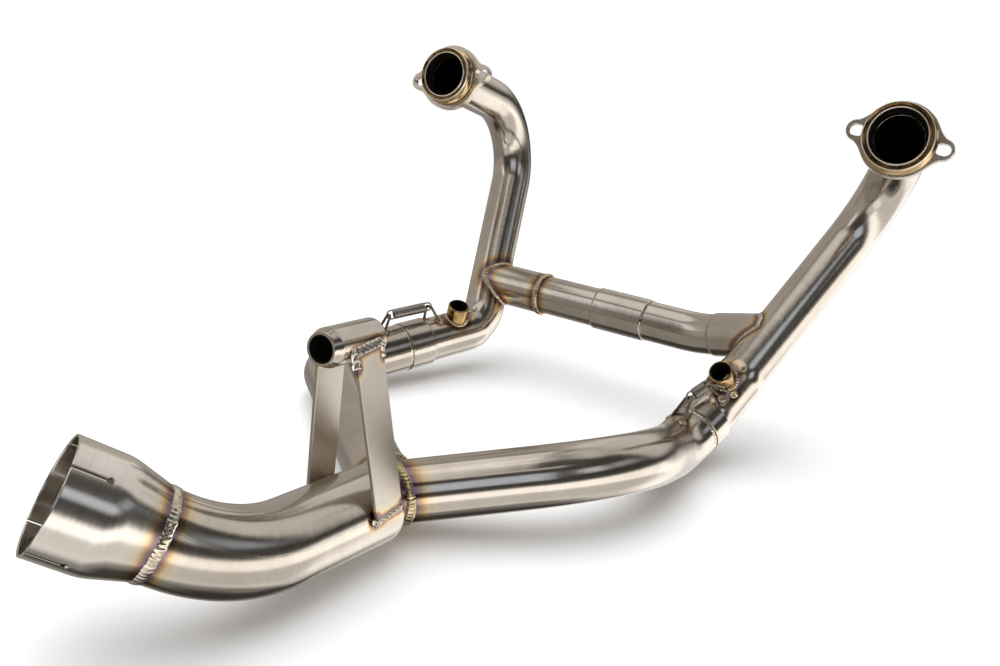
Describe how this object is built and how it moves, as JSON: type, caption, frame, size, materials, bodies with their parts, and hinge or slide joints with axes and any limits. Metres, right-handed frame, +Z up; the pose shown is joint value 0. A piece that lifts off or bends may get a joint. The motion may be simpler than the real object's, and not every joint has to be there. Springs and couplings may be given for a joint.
{
  "type": "motorcycle exhaust link pipe",
  "caption": "Motorcycle decat link pipe: flanged headers, crossover, spring-held slip joints, hanger bracket and a slotted outlet socket.",
  "frame": {"origin": "bottom centre of the bounding box, on the ground the pipe lies on", "axes": "+Y from the outlet socket towards the headers' top bends, along the longest extent, +X from the left port towards the right port, +Z up"},
  "size_m": [0.5588, 0.7712, 0.3509],
  "materials": {
    "pipe_steel": "satin brushed with heat tint",
    "bracket_steel": "satin mill finish",
    "flange_steel": "machined, heat tinted",
    "weld_bead": "rippled weld, straw tint",
    "spring_wire": "bright drawn wire"
  },
  "bodies": {
    "root": {"branch_weld": "weld_bead", "collector_lip": "pipe_steel", "collector_weld": "weld_bead", "cross_left_stub": "pipe_steel", "cross_left_weld": "weld_bead", "cross_right_stub": "pipe_steel", "cross_right_weld": "weld_bead", "cross_seam_ring": "weld_bead", "cross_sleeve": "pipe_steel", "cross_tube": "pipe_steel", "cross_weld_ring": "weld_bead", "hanger_left_foot_weld": "weld_bead", "hanger_left_top_weld": "weld_bead", "hanger_right_foot_weld": "weld_bead", "hanger_right_top_weld": "weld_bead", "hanger_strip_left": "bracket_steel", "hanger_strip_right": "bracket_steel", "hanger_tube": "bracket_steel", "left_bung": "flange_steel", "left_bung_weld": "weld_bead", "left_flange_collar": "flange_steel", "left_flange_plate": "flange_steel", "left_header_pipe": "pipe_steel", "left_lower_hook": "spring_wire", "left_lower_pipe": "pipe_steel", "left_slip_bead": "weld_bead", "left_slip_socket": "pipe_steel", "left_spring": "spring_wire", "left_upper_hook": "spring_wire", "main_pipe": "pipe_steel", "outlet_socket": "pipe_steel", "outlet_weld": "weld_bead", "right_bung": "flange_steel", "right_bung_weld": "weld_bead", "right_flange_collar": "flange_steel", "right_flange_plate": "flange_steel", "right_header_pipe": "pipe_steel", "right_lower_hook": "spring_wire", "right_lower_pipe": "pipe_steel", "right_slip_bead": "weld_bead", "right_slip_socket": "pipe_steel", "right_spring": "spring_wire", "right_upper_hook": "spring_wire"}
  },
  "joints": []
}
